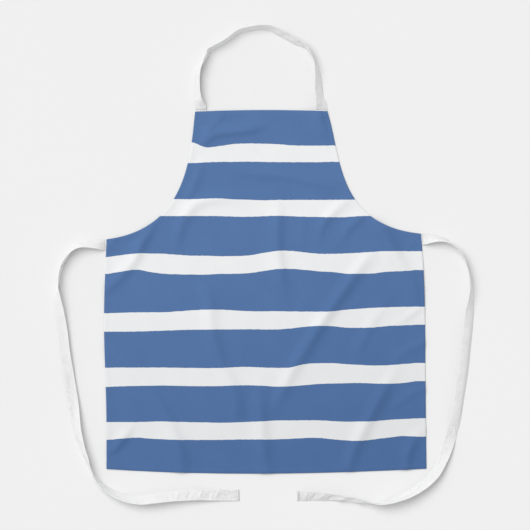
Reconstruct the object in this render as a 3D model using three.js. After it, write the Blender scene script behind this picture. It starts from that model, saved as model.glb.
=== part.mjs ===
// Butcher's bib apron with a fixed neck strap and two waist ties, laid out flat with its front up.
// Units are millimetres. The surface that it lies on is z = 0, +Z comes out of the apron's front,
// and +Y runs from the bottom hem to the neck strap.
// The origin is on that surface, under the middle of the panel's outline box.
import * as THREE from "three";

// ---------- driving dimensions ----------

// Panel: skirt and bib are one cut of cotton twill.
const CLOTH_THICK = 0.8;
const BIB_LEFT = [-150, 385.5];
const BIB_RIGHT = [133, 386.5];
const BIB_CROWN = [-8.5, 392];
const WAIST_LEFT = [-339.5, 112.5];
const WAIST_RIGHT = [333.5, 124.5];
const HEM_LEFT = [-339.5, -379];
const HEM_RIGHT = [345, -378.5];
const HEM_SAG = [-60, -399.25];
const RIGHT_ARMHOLE_PULLS = [[164, 289], [152, 142]];
const LEFT_ARMHOLE_PULLS = [[-166, 134], [-160, 292]];
const RIGHT_SIDE_BOW = [[339, 42], [342, -60], [343, -200]];
const LEFT_SIDE_BOW = [[-340, -250], [-344.9, -60]];

// Turned hems: how far each edge is folded to the back.
const TOP_HEM = 18;
const BOTTOM_HEM = 12;
const SIDE_HEM = 9;
const ARMHOLE_HEM = 9;
const EDGE_RECESS = 0.5;
const STITCH_FROM_FOLD = 1.5;
const HEM_CLEAR = 1;
const WAIST_CORNER_CLEAR = 6;

// Tape: inch-wide woven cotton tape.
const TAPE_WIDTH = 24;
const TAPE_THICK = 1;
const TAPE_CHAMFER = 0.25;
const SECTION_SIDES = 8;
const SEWN_TAIL = 25;
const TURNED_END = 7;
const TURNED_THICK = 0.6;

// Thread lines stand just clear of the cloth.
const THREAD_WIDTH = 0.8;
const THREAD_HIGH = 0.4;
const TACK_SIZE = 17;
const TACK_SETBACK = 3;

const GAP = 0.3;
const PANEL_BASE = TAPE_THICK + GAP;
const THREAD_BASE = PANEL_BASE + CLOTH_THICK + GAP;

// Where the tapes leave the panel.
const NECK_LEFT_X = -138;
const NECK_RIGHT_X = 120.5;
const NECK_SEAM_Y = 388.4;
const LEFT_TIE_Y = 101;
const RIGHT_TIE_Y = 112.5;
const LEFT_SEAM_X = -342;
const RIGHT_SEAM_X = 336;

// Routes of the free tapes: x, y of the tape's middle, its tilt in degrees, and the gap under its
// lower edge where it stands clear of the surface. The tilt lifts the edge on the left of the
// direction of travel; past 90 the tape has turned over onto its face.
const NECK_ROUTE = [
  [-138, 389.5, 0],
  [-138.2, 395, -11],
  [-139.8, 401.5, -29],
  [-142.6, 411, -50],
  [-145.5, 435, -63],
  [-145, 457, -63],
  [-140.5, 475, -76],
  [-130.5, 494, -101],
  [-123.5, 508, -104],
  [-118, 517, -108],
  [-108, 523.5, -110],
  [-92.5, 531.5, -110],
  [-75.5, 543, -110],
  [-57, 556, -111],
  [-35, 562, -115],
  [-7, 566, -114],
  [14.5, 563, -119],
  [34, 552.5, -123],
  [53, 543, -128],
  [66, 535, -126],
  [78, 530, -118],
  [87, 524.5, -108],
  [94.5, 513.5, -97],
  [100.5, 503, -92],
  [105.5, 492, -86],
  [111, 475, -66],
  [113.5, 455, -53],
  [114.5, 436, -46],
  [117, 412, -45],
  [119, 403, -31],
  [120, 396.5, -15],
  [120.4, 393, -6],
  [120.5, 389.5, 0],
];

const LEFT_TIE_ROUTE = [
  [-342.5, 101, 0],
  [-350, 101.2, 18],
  [-357, 102, 30],
  [-367, 102.6, 38],
  [-381, 102.5, 48],
  [-396, 99.5, 64],
  [-412, 89.5, 86],
  [-424, 74, 98],
  [-434, 57, 102],
  [-439, 37, 102],
  [-442, 19, 97],
  [-443, 5, 84],
  [-443.3, -11, 60],
  [-441, -33, 42],
  [-437, -60, 29],
  [-433, -88, 24],
  [-428, -130, 23],
  [-422.5, -165, 19],
  [-418, -193, 12],
  [-410, -240, 19],
  [-402, -292, 46],
  [-392.5, -328, 58],
  [-381, -360, 70],
  [-372, -382, 87],
  [-360.5, -401, 105],
  [-344, -418, 117],
  [-328, -429, 121],
  [-311, -437, 127, 3],
  [-289, -443, 135, 7],
  [-263, -444.5, 145, 10],
  [-233, -441, 152, 13],
  [-199, -437, 157, 11],
  [-161, -434.5, 163, 8],
  [-126, -434.3, 169, 4],
  [-92, -434.8, 174, 1],
  [-56, -435, 177],
];

const RIGHT_TIE_ROUTE = [
  [336.5, 112.5, 0],
  [344, 112.8, -18],
  [351, 113.6, -32],
  [360, 114, -44],
  [370, 113.5, -58],
  [381.5, 111.5, -68],
  [392, 107.5, -76],
  [402, 101, -85],
  [413, 90, -93],
  [423.5, 75, -95],
  [431.5, 55, -90],
  [437, 36, -84],
  [440.2, 18, -76],
  [441.8, -1, -66],
  [440.2, -22, -54],
  [437, -50, -31],
  [433.5, -82, -21],
  [428.8, -125, -18],
  [423.3, -174, -17],
  [415.3, -223, -16],
  [407.2, -272, -10],
  [398, -306, 2],
  [388, -338.5, 16],
  [376, -366, 24, 2],
  [363, -388.5, 30, 5],
  [346, -407, 36, 6],
  [323, -423, 43, 8],
  [299, -436, 52, 9],
  [273.5, -446, 64, 8],
  [248, -452.5, 80, 4],
  [228.5, -452.5, 98],
  [207, -449, 112],
  [184, -445, 121],
  [160, -441.5, 126],
  [134, -439, 133],
  [108.5, -437.5, 141],
  [68, -436.5, 153],
];

const NECK_STEPS = 52;
const TIE_STEPS = 72;
const END_STEPS = 3;
const ROUND_START_STEPS = 4;

// ---------- materials ----------

function fabric(color, roughness) {
  return new THREE.MeshStandardMaterial({ color, roughness, metalness: 0 });
}

const printedCloth = fabric(0x5776a5, 0.9);
const whiteTape = fabric(0xf2f2f2, 0.85);
const seamThread = fabric(0xc8d0dc, 0.7);

// ---------- shared shapes ----------

const apron = new THREE.Group();
const point = ([x, y]) => new THREE.Vector2(x, y);
const spline = (...places) => new THREE.SplineCurve(places.map(point));
const bezier = (...places) => new THREE.CubicBezierCurve(...places.map(point));

function addMesh(name, geometry, material) {
  const mesh = new THREE.Mesh(geometry, material);
  mesh.name = name;
  apron.add(mesh);
  return mesh;
}

function addPlate(name, outline, holes, base, thick, material) {
  const shape = new THREE.Shape(outline);
  shape.holes = holes.map((hole) => new THREE.Path(hole));
  const geometry = new THREE.ExtrudeGeometry(shape, { depth: thick, bevelEnabled: false });
  addMesh(name, geometry, material).position.z = base;
}

// ---------- panel outline: six edges, clockwise seen from the front ----------

const edges = {
  top: new THREE.QuadraticBezierCurve(point(BIB_LEFT), point(BIB_CROWN), point(BIB_RIGHT)),
  right_armhole: bezier(BIB_RIGHT, ...RIGHT_ARMHOLE_PULLS, WAIST_RIGHT),
  right_side: spline(WAIST_RIGHT, ...RIGHT_SIDE_BOW, HEM_RIGHT),
  bottom: new THREE.QuadraticBezierCurve(point(HEM_RIGHT), point(HEM_SAG), point(HEM_LEFT)),
  left_side: spline(HEM_LEFT, ...LEFT_SIDE_BOW, WAIST_LEFT),
  left_armhole: bezier(WAIST_LEFT, ...LEFT_ARMHOLE_PULLS, BIB_LEFT),
};
const edgeSteps = {
  top: 8,
  right_armhole: 22,
  right_side: 10,
  bottom: 14,
  left_side: 10,
  left_armhole: 22,
};

const panelOutline = Object.entries(edges).flatMap(([name, edge]) =>
  edge.getSpacedPoints(edgeSteps[name]).slice(0, -1),
);

// Points along an edge, moved inwards by an inset, from one distance along it to another.
function insetLine(edge, steps, inset, from, to) {
  const length = edge.getLength();
  return Array.from({ length: steps + 1 }, (_, i) => {
    const u = THREE.MathUtils.lerp(from, to, i / steps) / length;
    const at = edge.getPointAt(u);
    const tangent = edge.getTangentAt(u);
    return at.add(new THREE.Vector2(tangent.y, -tangent.x).multiplyScalar(inset));
  });
}

function stripOutline(edge, steps, outerInset, innerInset, from, to) {
  const outer = insetLine(edge, steps, outerInset, from, to);
  const inner = insetLine(edge, steps, innerInset, from, to);
  return [...outer, ...inner.reverse()];
}

addPlate("front_panel", panelOutline, [], PANEL_BASE, CLOTH_THICK, printedCloth);

// ---------- hems: the edge turned to the back, printed side out, clear of tapes and other hems ----------

const halfTape = TAPE_WIDTH / 2;
const tapeInset = halfTape + EDGE_RECESS;
const hems = {
  top: {
    width: TOP_HEM,
    from: NECK_LEFT_X + tapeInset - BIB_LEFT[0],
    upTo: BIB_RIGHT[0] - NECK_RIGHT_X + tapeInset,
  },
  right_armhole: {
    width: ARMHOLE_HEM,
    from: SEWN_TAIL + HEM_CLEAR,
    upTo: SEWN_TAIL + WAIST_CORNER_CLEAR,
  },
  right_side: {
    width: SIDE_HEM,
    from: WAIST_RIGHT[1] - RIGHT_TIE_Y + tapeInset,
    upTo: BOTTOM_HEM + HEM_CLEAR,
  },
  bottom: { width: BOTTOM_HEM, from: EDGE_RECESS, upTo: EDGE_RECESS },
  left_side: {
    width: SIDE_HEM,
    from: BOTTOM_HEM + HEM_CLEAR,
    upTo: WAIST_LEFT[1] - LEFT_TIE_Y + tapeInset,
  },
  left_armhole: {
    width: ARMHOLE_HEM,
    from: SEWN_TAIL + WAIST_CORNER_CLEAR,
    upTo: SEWN_TAIL + HEM_CLEAR,
  },
};

for (const [name, hem] of Object.entries(hems)) {
  const edge = edges[name];
  const steps = edgeSteps[name];
  const to = edge.getLength() - hem.upTo;
  const turned = stripOutline(edge, steps, EDGE_RECESS, hem.width, hem.from, to);
  addPlate(name + "_hem", turned, [], 0, TAPE_THICK, printedCloth);
  const seam = hem.width - STITCH_FROM_FOLD;
  const thread = stripOutline(edge, steps, seam - THREAD_WIDTH, seam, hem.from, to);
  addPlate(name + "_hem_stitching", thread, [], THREAD_BASE, THREAD_HIGH, seamThread);
}

// ---------- sewn tape ends under the panel, and the tacks that hold them ----------

function rectangle(x, y, width, height) {
  const [w, h] = [width / 2, height / 2];
  return [
    new THREE.Vector2(x - w, y - h),
    new THREE.Vector2(x + w, y - h),
    new THREE.Vector2(x + w, y + h),
    new THREE.Vector2(x - w, y + h),
  ];
}

// A box tack is a square of stitching with a cross in it, so its holes are four triangles.
function tackHoles(x, y) {
  const near = THREAD_WIDTH;
  const far = TACK_SIZE / 2 - THREAD_WIDTH;
  return [0, 1, 2, 3].map((quarter) => {
    const corners = [
      new THREE.Vector2(near, 0),
      new THREE.Vector2(far, far - near),
      new THREE.Vector2(far, near - far),
    ];
    const centre = new THREE.Vector2();
    const turned = corners.map((c) => c.rotateAround(centre, (quarter * Math.PI) / 2));
    return turned.map((c) => c.add(new THREE.Vector2(x, y)));
  });
}

const halfTail = SEWN_TAIL / 2;
const sewnEnds = [
  { name: "neck_strap_left", x: NECK_LEFT_X, y: NECK_SEAM_Y - halfTail, upright: true },
  { name: "neck_strap_right", x: NECK_RIGHT_X, y: NECK_SEAM_Y - halfTail, upright: true },
  { name: "left_tie", x: LEFT_SEAM_X + halfTail, y: LEFT_TIE_Y, upright: false },
  { name: "right_tie", x: RIGHT_SEAM_X - halfTail, y: RIGHT_TIE_Y, upright: false },
];
for (const { name, x, y, upright } of sewnEnds) {
  const size = upright ? [TAPE_WIDTH, SEWN_TAIL] : [SEWN_TAIL, TAPE_WIDTH];
  addPlate(name + "_sewn_end", rectangle(x, y, ...size), [], 0, TAPE_THICK, whiteTape);
  const [tackX, tackY] = upright
    ? [x, y - TACK_SETBACK]
    : [x - Math.sign(x) * TACK_SETBACK, y];
  const square = rectangle(tackX, tackY, TACK_SIZE, TACK_SIZE);
  addPlate(name + "_tack", square, tackHoles(tackX, tackY), THREAD_BASE, THREAD_HIGH, seamThread);
}

// ---------- free tapes: a flat section swept along a route, tilted as the tape turns ----------

const UP = new THREE.Vector3(0, 0, 1);

function tapeLine(route) {
  const middles = route.map(([x, y, tilt, gap = 0]) => {
    const lift = halfTape * Math.abs(Math.sin(THREE.MathUtils.degToRad(tilt)));
    return new THREE.Vector3(x, y, lift + TAPE_THICK / 2 + gap);
  });
  return new THREE.CatmullRomCurve3(middles);
}

// The tape's middle, its cross direction and its face direction at a share of its length.
function tapeFrame(route, line, share) {
  const t = line.getUtoTmapping(share);
  const at = t * (route.length - 1);
  const i = Math.min(Math.floor(at), route.length - 2);
  const degrees = THREE.MathUtils.lerp(route[i][2], route[i + 1][2], at - i);
  const tilt = THREE.MathUtils.degToRad(degrees);
  const tangent = line.getTangent(t);
  const side = UP.clone().cross(tangent).normalize();
  const across = side.multiplyScalar(Math.cos(tilt)).addScaledVector(UP, Math.sin(tilt));
  across.addScaledVector(tangent, -across.dot(tangent)).normalize();
  const face = tangent.clone().cross(across).normalize();
  const middle = line.getPoint(t);
  const lowest = halfTape * Math.abs(across.z) + (TAPE_THICK / 2) * Math.abs(face.z);
  middle.z = Math.max(middle.z, lowest);
  return { middle, across, face };
}

// Flat section with chamfered edges, counter-clockwise seen from the end that it travels to.
function section(half, thick) {
  const t = thick / 2;
  const c = Math.min(TAPE_CHAMFER, half / 2, t / 2);
  return [
    [half, t - c],
    [half - c, t],
    [c - half, t],
    [-half, t - c],
    [-half, c - t],
    [c - half, -t],
    [half - c, -t],
    [half, c - t],
  ];
}

// Closed sweep through the given stations: each has a share of the route, a half width and a rise.
function sweep(route, stations, thick) {
  const line = tapeLine(route);
  const positions = [];
  const index = [];
  for (const { share, half, rise } of stations) {
    const { middle, across, face } = tapeFrame(route, line, share);
    for (const [w, f] of section(half, thick)) {
      const corner = middle.clone().addScaledVector(across, w).addScaledVector(face, f + rise);
      positions.push(corner.x, corner.y, corner.z);
    }
  }
  const sides = SECTION_SIDES;
  const rings = stations.length;
  for (let ring = 0; ring < rings - 1; ring++) {
    for (let k = 0; k < sides; k++) {
      const a = ring * sides + k;
      const b = ring * sides + ((k + 1) % sides);
      // Both faces split along the same diagonal, so that a twisted tape keeps its thickness.
      if (k < sides / 2) index.push(a, b, b + sides, a, b + sides, a + sides);
      else index.push(a, b, a + sides, b, b + sides, a + sides);
    }
  }
  const last = (rings - 1) * sides;
  for (let k = 1; k < sides - 1; k++) {
    index.push(0, k + 1, k);
    index.push(last, last + k, last + k + 1);
  }
  const geometry = new THREE.BufferGeometry();
  geometry.setAttribute("position", new THREE.Float32BufferAttribute(positions, 3));
  geometry.setIndex(index);
  geometry.computeVertexNormals();
  return geometry;
}

function evenStations(from, to, steps, half, rise) {
  return Array.from({ length: steps + 1 }, (_, i) => ({
    share: THREE.MathUtils.lerp(from, to, i / steps),
    half,
    rise,
  }));
}

// A tie begins with a half-round end, so that it can swing about the middle of that round.
function roundStart(length) {
  return Array.from({ length: ROUND_START_STEPS }, (_, i) => {
    const angle = ((i + 1) / (ROUND_START_STEPS + 1)) * (Math.PI / 2);
    return {
      share: (halfTape * (1 - Math.cos(angle))) / length,
      half: halfTape * Math.sin(angle),
      rise: 0,
    };
  });
}

addMesh(
  "neck_strap",
  sweep(NECK_ROUTE, evenStations(0, 1, NECK_STEPS, halfTape, 0), TAPE_THICK),
  whiteTape,
);

for (const [name, route] of Object.entries({ left_tie: LEFT_TIE_ROUTE, right_tie: RIGHT_TIE_ROUTE })) {
  const length = tapeLine(route).getLength();
  const hemFrom = 1 - TURNED_END / length;
  const body = evenStations(halfTape / length, hemFrom, TIE_STEPS, halfTape, 0);
  const end = evenStations(hemFrom, 1, END_STEPS, halfTape, 0).slice(1);
  addMesh(name, sweep(route, [...roundStart(length), ...body, ...end], TAPE_THICK), whiteTape);

  // The free end is turned to the back of the tape, which faces up there, and stitched across.
  const hemTo = 1 - EDGE_RECESS / length;
  const hemRise = -(TAPE_THICK / 2 + GAP + TURNED_THICK / 2);
  const turned = evenStations(hemFrom, hemTo, END_STEPS, halfTape - EDGE_RECESS, hemRise);
  addMesh(name + "_end_hem", sweep(route, turned, TURNED_THICK), whiteTape);

  const seamFrom = hemFrom + STITCH_FROM_FOLD / length;
  const seamTo = seamFrom + THREAD_WIDTH / length;
  const seamRise = hemRise - (TURNED_THICK / 2 + GAP + THREAD_HIGH / 2);
  const seam = evenStations(seamFrom, seamTo, 1, halfTape - STITCH_FROM_FOLD, seamRise);
  addMesh(name + "_end_stitching", sweep(route, seam, THREAD_HIGH), seamThread);
}

export default apron;
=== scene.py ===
"""Butcher's bib apron, laid out flat with its front up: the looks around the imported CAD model.

Everything is in metres in the CAD frame: the surface that the apron lies on is z = 0, +Z comes out of
its front and +Y runs from the bottom hem to the neck strap. Tables of shape are written in
millimetres and turned into metres by MM.
"""
import math

import bpy
import numpy as np
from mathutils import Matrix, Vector, geometry, kdtree


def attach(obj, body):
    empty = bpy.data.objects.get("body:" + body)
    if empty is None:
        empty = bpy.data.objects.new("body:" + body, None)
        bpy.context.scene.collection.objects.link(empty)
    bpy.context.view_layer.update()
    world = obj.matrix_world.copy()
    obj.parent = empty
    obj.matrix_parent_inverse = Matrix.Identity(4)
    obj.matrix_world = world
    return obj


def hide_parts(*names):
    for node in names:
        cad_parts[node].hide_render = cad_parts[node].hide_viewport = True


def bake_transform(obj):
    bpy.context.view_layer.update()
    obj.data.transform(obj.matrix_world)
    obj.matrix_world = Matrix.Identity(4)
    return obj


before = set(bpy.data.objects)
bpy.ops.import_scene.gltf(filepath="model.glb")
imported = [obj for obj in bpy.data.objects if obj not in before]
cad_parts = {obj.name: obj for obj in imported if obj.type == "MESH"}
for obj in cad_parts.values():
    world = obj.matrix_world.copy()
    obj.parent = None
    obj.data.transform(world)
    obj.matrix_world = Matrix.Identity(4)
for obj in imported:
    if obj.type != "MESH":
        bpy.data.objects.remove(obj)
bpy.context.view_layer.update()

MM = 0.001
UP = np.array([0.0, 0.0, 1.0])

# ---------- sizes, in metres ----------

CLOTH_THICK = 0.55 * MM
HEM_THICK = 0.5 * MM
HEM_BASE = 0.3 * MM
PANEL_BASE = 0.1 * MM
PANEL_OVER_HEM = 0.85 * MM
PANEL_OVER_TAPE = 1.08 * MM
ROLL = 0.85 * MM
PANEL_STEP = 3.6 * MM
EDGE_STEP = 2.5 * MM

# Turned hems, in millimetres: their widths, and how far each stops short of its edge's two ends.
HEM_WIDTHS = {"top": 18, "right_armhole": 9, "right_side": 9, "bottom": 12, "left_side": 9, "left_armhole": 9}
HEM_CLEARANCES = {
    "top": (24.5, 25), "right_armhole": (26, 31), "right_side": (24.5, 13),
    "bottom": (0.5, 0.5), "left_side": (13, 24), "left_armhole": (31, 26),
}
STITCH_FROM_FOLD = 1.5
PUCKER = {"top": 0.16, "right_armhole": 0.2, "right_side": 0.2, "bottom": 0.36, "left_side": 0.2, "left_armhole": 0.2}
STITCH_PITCH = 3.1 * MM
STITCH_LENGTH = 2.5 * MM
STITCH_WIDTH = 0.55 * MM
STITCH_HIGH = 0.32 * MM

TAPE_WIDTH = 24 * MM
TAPE_THICK = 0.9 * MM
TAPE_FLOOR = 0.06 * MM
SEWN_TAIL = 25 * MM
TURNED_END = 7 * MM
TURNED_THICK = 0.6 * MM
TAPE_CUP = 0.5
TACK_SIZE = 17 * MM
TACK_SETBACK = 3 * MM
TACK_PITCH = 2.4 * MM
SEWN_BASE = 0.14 * MM
LIP_DEPTH = 0.45 * MM
EDGE_RECESS = 0.5
SEAM_STEP = 2.7 * MM

# Where the tapes leave the panel: x, y of the seam and the way the tape leaves it.
SEAMS = {
    "neck_strap_left": ((-138, 388.4), (0, 1)),
    "neck_strap_right": ((120.5, 388.4), (0, 1)),
    "left_tie": ((-342, 101), (-1, 0)),
    "right_tie": ((336, 112.5), (1, 0)),
}

# How far the sewn tape reaches past each seam, just over the start of the free tape.
SEAM_SHOW = {name: (1.6 if way[1] else 0.9) * MM for name, (_, way) in SEAMS.items()}

# Routes of the free tapes, as in the CAD: x, y of the tape's middle in millimetres, its tilt in degrees,
# and the gap under its lower edge where it stands clear of the surface. The tilt lifts the edge on the
# left of travel; past 90 the tape has turned over.
NECK_ROUTE = [
    (-138, 389.5, 0), (-138.2, 395, -11), (-139.8, 401.5, -29), (-142.6, 411, -50), (-145.5, 435, -63),
    (-145, 457, -63), (-140.5, 475, -76), (-130.5, 494, -101), (-123.5, 508, -104), (-118, 517, -108),
    (-108, 523.5, -110), (-92.5, 531.5, -110), (-75.5, 543, -110), (-57, 556, -111), (-35, 562, -115),
    (-7, 566, -114), (14.5, 563, -119), (34, 552.5, -123), (53, 543, -128), (66, 535, -126),
    (78, 530, -118), (87, 524.5, -108), (94.5, 513.5, -97), (100.5, 503, -92), (105.5, 492, -86),
    (111, 475, -66), (113.5, 455, -53), (114.5, 436, -46), (117, 412, -45), (119, 403, -31),
    (120, 396.5, -15), (120.4, 393, -6), (120.5, 389.5, 0),
]
LEFT_TIE_ROUTE = [
    (-342.5, 101, 0), (-350, 101.2, 18), (-357, 102, 30), (-367, 102.6, 38), (-381, 102.5, 48),
    (-396, 99.5, 64), (-412, 89.5, 86), (-424, 74, 98), (-434, 57, 102), (-439, 37, 102), (-442, 19, 97),
    (-443, 5, 84), (-443.3, -11, 60), (-441, -33, 42), (-437, -60, 29), (-433, -88, 24), (-428, -130, 23),
    (-422.5, -165, 19), (-418, -193, 12), (-410, -240, 19), (-402, -292, 46), (-392.5, -328, 58),
    (-381, -360, 70), (-372, -382, 87), (-360.5, -401, 105), (-344, -418, 117), (-328, -429, 121),
    (-311, -437, 127, 3), (-289, -443, 135, 7), (-263, -444.5, 145, 10), (-233, -441, 152, 13),
    (-199, -437, 157, 11), (-161, -434.5, 163, 8), (-126, -434.3, 169, 4), (-92, -434.8, 174, 1),
    (-56, -435, 177),
]
RIGHT_TIE_ROUTE = [
    (336.5, 112.5, 0), (344, 112.8, -18), (351, 113.6, -32), (360, 114, -44), (370, 113.5, -58),
    (381.5, 111.5, -68), (392, 107.5, -76), (402, 101, -85), (413, 90, -93), (423.5, 75, -95),
    (431.5, 55, -90), (437, 36, -84), (440.2, 18, -76), (441.8, -1, -66), (440.2, -22, -54),
    (437, -50, -31), (433.5, -82, -21), (428.8, -125, -18), (423.3, -174, -17), (415.3, -223, -16),
    (407.2, -272, -10), (398, -306, 2), (388, -338.5, 16), (376, -366, 24, 2), (363, -388.5, 30, 5),
    (346, -407, 36, 6), (323, -423, 43, 8), (299, -436, 52, 9), (273.5, -446, 64, 8),
    (248, -452.5, 80, 4), (228.5, -452.5, 98), (207, -449, 112), (184, -445, 121), (160, -441.5, 126),
    (134, -439, 133), (108.5, -437.5, 141), (68, -436.5, 153),
]

# Panel edges, clockwise seen from the front, in millimetres.
BIB_LEFT, BIB_RIGHT = (-150, 385.5), (133, 386.5)
WAIST_LEFT, WAIST_RIGHT = (-339.5, 112.5), (333.5, 124.5)
HEM_LEFT, HEM_RIGHT = (-339.5, -379), (345, -378.5)

# Printed stripes: heights of their edges at even stations across the panel, from the bib's first
# blue stripe downwards. Cloth above the first height is blue, then the colours take turns.
STRIPE_STATIONS = np.arange(-337, 324, 30)
STRIPE_EDGES = [
    [318, 318, 318, 318, 318, 318, 320, 309.4, 312, 316.3, 317.4, 317.1, 316.3, 313.7, 312.9, 312.9, 313.1, 313, 313, 313, 313, 313, 313],
    [275.4, 275.4, 275.4, 275.4, 275.4, 275.4, 275.4, 276.9, 278, 278, 278.6, 278, 277.6, 277.3, 277.3, 277.3, 278.2, 278, 278, 278, 278, 278, 278],
    [198.2, 198.2, 198.2, 198.2, 198.2, 198.2, 198.2, 199.4, 199.9, 197.7, 197.1, 196, 196.5, 196.7, 196.7, 196.7, 196.9, 197.1, 197.1, 197.1, 197.1, 197.1, 197.1],
    [162.2, 162.2, 162.2, 162.2, 162.2, 162.2, 162.2, 162.2, 162, 160.9, 160.5, 161.6, 162.6, 162, 160.7, 160.1, 159.6, 159.9, 162, 162, 162, 162, 162],
    [74.3, 78.6, 82, 82.1, 81.3, 79.3, 77.5, 77.3, 76.2, 76.4, 77.7, 82.6, 87.3, 87.7, 84.7, 81.7, 81.3, 82.2, 83.7, 85.8, 87.1, 86.9, 86.9],
    [38.5, 43.5, 47.5, 42.5, 38.7, 37.5, 36.8, 36.8, 38.3, 38.7, 40, 43.7, 48.4, 49.2, 47.1, 43.9, 42.4, 38.9, 38.9, 39.6, 43, 44.3, 46.7],
    [-45.8, -44.7, -43.9, -43.8, -43.7, -41.7, -39.6, -38.1, -38.1, -39.6, -41.3, -41.7, -41.5, -41.9, -42.2, -42.4, -41.7, -38.3, -36, -34, -33, -32.1, -31.7],
    [-85.2, -85.2, -85, -84, -83, -82, -81.1, -80.9, -80.5, -80.5, -80.2, -80.5, -80.5, -78.5, -75.1, -72.8, -73.6, -76.6, -77, -76.2, -73, -71.9, -70.4],
    [-162.4, -162, -162, -162, -162, -162.5, -162.9, -163.1, -162.9, -161.4, -160.5, -161.8, -162.6, -161.8, -154.9, -152.8, -152.6, -154.7, -156.4, -157.5, -156.9, -154.7, -152.2],
    [-203.5, -202.3, -201.4, -201, -200.7, -201.3, -201.8, -202, -201.6, -200.5, -200.1, -200.9, -202.9, -202.2, -199.9, -197.3, -196.2, -195.6, -195.2, -196.2, -196.5, -195.4, -191.1],
    [-278.6, -278.6, -278.6, -277.9, -277.3, -278.2, -279.1, -279.5, -280.1, -279.5, -278.2, -276.9, -275.4, -275, -275, -275, -276.5, -277.8, -277.3, -276.7, -274.1, -272.4, -270.7],
    [-316.9, -314, -312, -314, -315.7, -316.5, -316.9, -316.9, -316.9, -316.3, -315.9, -315.9, -315.7, -314.6, -312.9, -312.4, -315.4, -318, -318.6, -315.7, -312, -308.8, -309.7],
]

# Folds of the cloth, in millimetres: crest line, height at each of its points, and how far the fold
# spreads on the left and on the right of the line's travel.
FOLDS = [
    ([(240, 96), (212, 66), (174, 14), (139, -35), (113, -76), (89, -116), (67, -150), (48, -185), (27, -233), (14, -262)],
     [0, 4.6, 8, 8.6, 8, 7.5, 6.5, 5.4, 3.4, 0], (16, 13)),
    ([(279, -168), (258, -202), (239, -237), (222, -268), (205, -304), (188, -340), (179, -371)],
     [1, 5.5, 7.4, 7.4, 6.8, 6.4, 5], (16, 13)),
    ([(26, 196), (26, 158), (25, 125), (26, 87), (31, 49), (36, 15), (44, -28)],
     [1, 5, 6.4, 6.2, 5.8, 4, 0.5], (14, 18)),
    ([(-137, 15), (-121, -23), (-118, -62), (-113, -95), (-101, -142), (-85, -176), (-68, -214), (-62, -252), (-61, -276)],
     [1.5, 5.4, 5.6, 6.2, 6, 5.6, 6.2, 6, 1], (18, 14)),
    ([(-14, -198), (-12, -242), (-10, -276), (-7, -318), (-4, -356), (1, -380)], [1, 6.2, 5.8, 5.8, 5.8, 4.6], (17, 15)),
    ([(-125, 325), (-106, 338), (-68, 343), (-25, 349), (2, 357)], [3.4, 5.4, 5.2, 5.2, 1], (16, 10)),
    ([(-97, 370), (-116, 349), (-125, 325)], [2, 4.4, 4], (10, 15)),
    ([(-137, 275), (-147, 244), (-163, 206)], [1.5, 3.4, 3], (12, 12)),
    ([(-87, 258), (-20, 254), (51, 248), (95, 238), (136, 226)], [0, 3.6, 4, 4, 2], (18, 13)),
    ([(-44, 201), (-106, 200), (-149, 188), (-173, 158), (-186, 125), (-192, 92)], [1, 4.4, 5, 5.2, 4.6, 1.6], (14, 13)),
    ([(-242, 137), (-256, 118), (-268, 99), (-280, 70), (-301, 44), (-320, 23), (-337, 8)],
     [4, 7, 7, 6, 5.4, 5, 3.8], (13, 13)),
    ([(-320, 116), (-334, 96)], [1.6, 2.2], (9, 7)),
    ([(174, 196), (148, 173), (123, 144), (115, 106)], [2, 4, 4, 1.2], (11, 11)),
    ([(203, 158), (177, 135), (158, 104)], [2.6, 4, 1], (11, 12)),
    ([(81, 154), (79, 106)], [1.6, 1], (9, 9)),
    ([(236, 160), (249, 134), (274, 87), (298, 44), (314, 16), (322, -18)], [3, 8.6, 8.4, 6.4, 5.4, 2.4], (17, 17)),
    ([(110, 390), (116, 374), (123, 352), (131, 326)], [4.5, 7.5, 6, 1.5], (11, 24)),
    ([(255, -31), (231, -62), (212, -100), (196, -138)], [1.6, 2.6, 2.6, 1], (12, 14)),
    ([(327, -38), (300, -56), (279, -71)], [2.2, 1.8, 0.5], (8, 9)),
    ([(338, -109), (298, -128), (279, -150)], [2.6, 2.6, 1], (12, 10)),
    ([(340, -208), (312, -218), (279, -242)], [1.8, 2.6, 1.4], (12, 9)),
    ([(334, -299), (315, -323), (303, -352), (300, -376)], [2.2, 5.4, 6, 4], (13, 12)),
    ([(-287, -290), (-304, -313), (-323, -337)], [1.6, 5.4, 5], (10, 12)),
    ([(-339, -123), (-311, -142), (-277, -176), (-246, -209), (-225, -242), (-208, -271), (-193, -310), (-181, -352), (-179, -386)],
     [2.6, 3, 3, 3.6, 4.6, 4.6, 4.8, 5.2, 4], (15, 17)),
]

# Soft lifts: x, y, spread along x, spread along y, height.
LIFTS = [
    (-205, -330, 30, 30, 2.4),
    (330, 20, 26, 60, 1.6),
    (-300, -60, 60, 70, 0.8),
    (60, -120, 90, 60, 0.8),
    (110, -330, 40, 30, 1.6),
]


# ---------- curves ----------

def bezier(points, count=200):
    points = np.array(points, float)
    t = np.linspace(0, 1, count)[:, None]
    level = [np.repeat(p[None], count, 0) for p in points]
    while len(level) > 1:
        level = [a * (1 - t) + b * t for a, b in zip(level, level[1:])]
    return level[0]


def hermite(p0, p1, m0, m1, w):
    w2, w3 = w * w, w * w * w
    return (2 * w3 - 3 * w2 + 1) * p0 + (w3 - 2 * w2 + w) * m0 + (3 * w2 - 2 * w3) * p1 + (w3 - w2) * m1


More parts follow.
